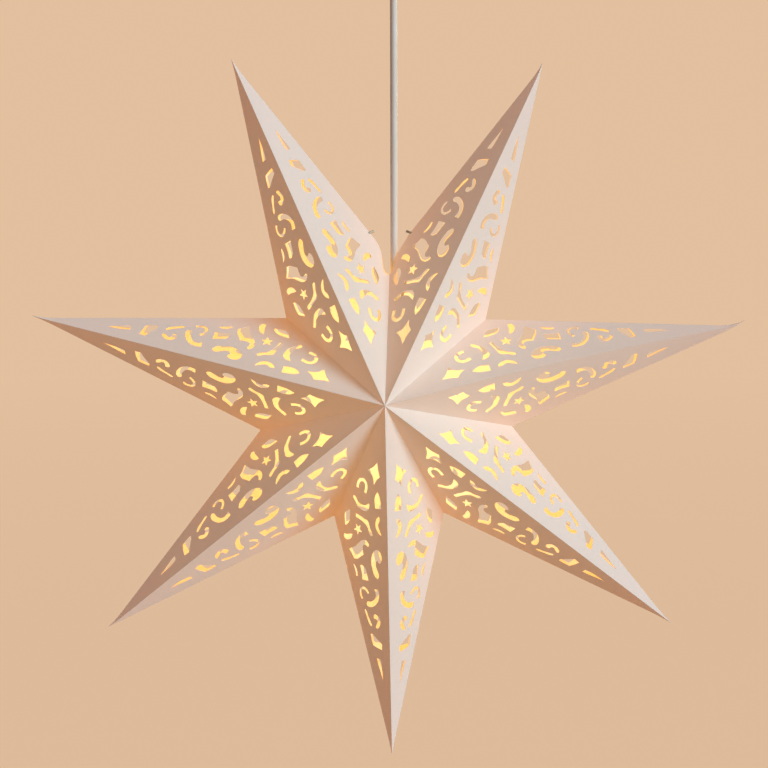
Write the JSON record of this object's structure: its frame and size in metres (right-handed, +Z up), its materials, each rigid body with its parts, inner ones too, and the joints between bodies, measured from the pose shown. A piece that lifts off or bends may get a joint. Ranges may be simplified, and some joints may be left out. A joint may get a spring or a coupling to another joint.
{
  "type": "origami star lamp",
  "caption": "Hanging star of folded, knife-cut white card with hollow pointed arms, lit from inside by a bulb in a lampholder on a cord from a ceiling cup.",
  "frame": {"origin": "on the ceiling, on the line of the cord, in the plane of the ceiling cup's rim", "axes": "+Z up, along the cord; +X to the right seen from the front; -Y towards the viewer, +Y the star's thin direction"},
  "size_m": [0.5938, 0.15, 0.6994],
  "materials": {
    "white_card": "matte, fibrous white card",
    "hook_steel": "dull drawn wire",
    "holder_plastic": "smooth white",
    "insert_plastic": "smooth",
    "bulb_glass": "opal, lit warm",
    "cord_plastic": "smooth white sheath",
    "cup_plastic": "smooth white",
    "bracket_steel": "plated",
    "terminal_plastic": "smooth"
  },
  "bodies": {
    "root": {"paper_arm_top_left": "white_card", "paper_arm_left": "white_card", "paper_arm_lower_left": "white_card", "paper_arm_bottom": "white_card", "paper_arm_lower_right": "white_card", "paper_arm_right": "white_card", "paper_arm_top_right": "white_card", "hanger_wire": "hook_steel", "holder_cord_grip": "holder_plastic", "lampholder_cap": "holder_plastic", "lampholder_body": "holder_plastic", "lampholder_insert": "insert_plastic", "bulb": "bulb_glass", "cord": "cord_plastic", "ceiling_cup": "cup_plastic", "ceiling_cord_grip": "cup_plastic", "ceiling_bracket": "bracket_steel", "ceiling_terminal": "terminal_plastic"}
  },
  "joints": []
}
